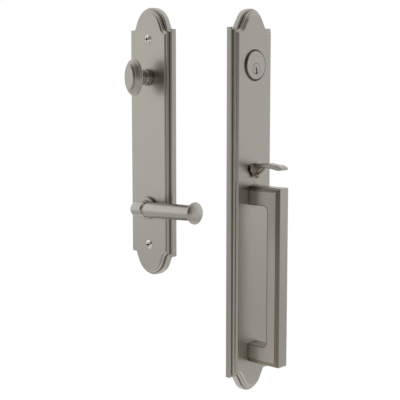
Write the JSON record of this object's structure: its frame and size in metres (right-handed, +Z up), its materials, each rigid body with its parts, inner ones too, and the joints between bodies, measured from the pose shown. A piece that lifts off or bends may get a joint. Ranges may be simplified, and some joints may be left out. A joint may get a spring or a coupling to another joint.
{
  "type": "entry door handleset",
  "caption": "Entry door handleset: an arched exterior plate with key cylinder, thumb latch and pull grip, and a matching interior plate with deadbolt turn and lever.",
  "frame": {"origin": "midway between the two post holes of the exterior trim, on the door's outside face", "axes": "+Z up; -Y out of the exterior trim's face, +Y into the door. The interior trim stands to the left and faces -X."},
  "size_m": [0.206, 0.1185, 0.4484],
  "materials": {
    "satin_nickel": "satin nickel plate on cast zinc",
    "plated_brass": "satin nickel plate on turned brass",
    "brass": "plain turned brass",
    "steel": "zinc-plated steel",
    "bright_screw": "bright nickel"
  },
  "bodies": {
    "trims": {"exterior_plate": "satin_nickel", "cylinder_trim_ring": "satin_nickel", "cylinder_housing": "plated_brass", "cylinder_ring_nut": "brass", "driver_pins": "brass", "pin_springs": "steel", "thumbpiece_pin": "steel", "thumbpiece_bracket": "steel", "bracket_screws": "steel", "lift_slide_spring": "steel", "pull_grip": "satin_nickel", "grip_screws": "steel", "mounting_posts": "steel", "interior_plate": "satin_nickel", "plate_screws": "bright_screw", "thumbturn_collar": "plated_brass", "thumbturn_washer": "steel", "lever_collar": "plated_brass", "spring_cage": "steel", "lever_return_spring": "steel", "spring_cage_cover": "steel", "cage_screws": "steel"},
    "plug": {"key_plug": "plated_brass", "key_pins": "brass", "plug_clip": "steel", "cylinder_tailpiece": "steel"},
    "thumb": {"thumbpiece": "satin_nickel"},
    "lift": {"lift_slide": "steel"},
    "turn": {"thumbturn_knob": "satin_nickel", "thumbturn_spindle": "steel", "thumbturn_clip": "steel"},
    "lever": {"lever_handle": "satin_nickel", "lever_spindle": "steel", "lever_set_screw": "steel", "lever_clip": "steel", "spring_driver": "steel"}
  },
  "joints": [
    {"name": "plug_turn", "type": "hinge", "parent": "trims", "child": "plug", "pos_m": [0, 0, 0.06585], "axis": [0, 1, 0], "range_deg": [-90, 90]},
    {"name": "thumb_press", "type": "hinge", "parent": "trims", "child": "thumb", "pos_m": [0, 0, -0.04615], "axis": [1, 0, 0], "range_deg": [0, 12], "stiffness_Nm_per_rad": 1, "springref_deg": -8.59},
    {"name": "latch_lift", "type": "slide", "parent": "trims", "child": "lift", "axis": [0, 0, 1], "range_m": [0, 0.00335], "deforming": ["lift_slide_spring"]},
    {"name": "deadbolt_turn", "type": "hinge", "parent": "trims", "child": "turn", "pos_m": [-0.1324, 0.0146, 0.0564], "axis": [1, 0, 0], "range_deg": [-90, 90]},
    {"name": "lever_turn", "type": "hinge", "parent": "trims", "child": "lever", "pos_m": [-0.1324, 0.0146, -0.0833], "axis": [1, 0, 0], "range_deg": [-45, 45], "stiffness_Nm_per_rad": 2, "springref_deg": -1.72}
  ],
  "couplings": [
    {"joint": "thumb_press", "follows": "latch_lift", "rad_per_m": 62.5}
  ]
}
